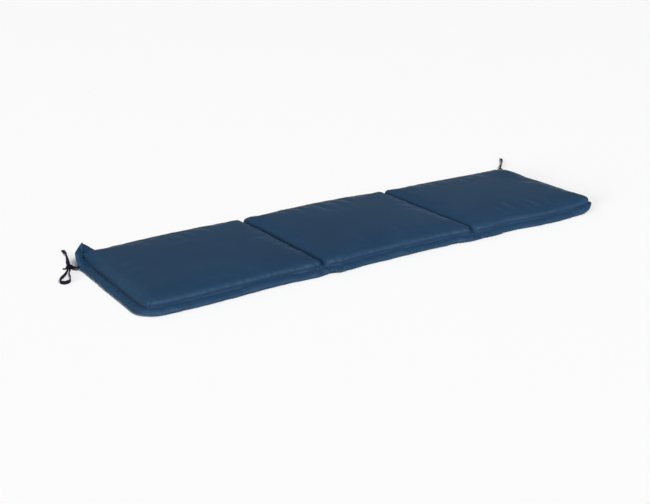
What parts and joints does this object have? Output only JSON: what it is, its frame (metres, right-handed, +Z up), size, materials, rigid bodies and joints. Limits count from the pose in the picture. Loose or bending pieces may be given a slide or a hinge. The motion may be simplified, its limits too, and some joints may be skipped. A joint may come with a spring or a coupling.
{
  "type": "bench cushion",
  "caption": "Long padded seat cushion for a garden bench, with foam panels parted by sewn channels, a soft sewn lip all round and tape ties at the back corners.",
  "frame": {"origin": "on the surface that the cushion lies on, under the middle of the cushion's box without its ties", "axes": "+X along the seat towards its right end, +Y from the front edge to the back edge with the ties, +Z up"},
  "size_m": [1.7392, 0.6428, 0.0608],
  "materials": {
    "cover": "dark navy woven polyester, fine plain weave, matt with a faint sheen",
    "tape": "very dark navy woven tape with selvedges"
  },
  "bodies": {
    "root": {"cushion": "cover", "tie_left_strand_a": "tape", "tie_left_strand_b": "tape", "tie_left_knot": "tape", "tie_left_free_end": "tape", "tie_left_loop": "tape", "tie_left_tail": "tape", "tie_right_strand_a": "tape", "tie_right_strand_b": "tape", "tie_right_knot": "tape", "tie_right_free_end": "tape", "tie_right_loop": "tape", "tie_right_tail": "tape"}
  },
  "joints": []
}
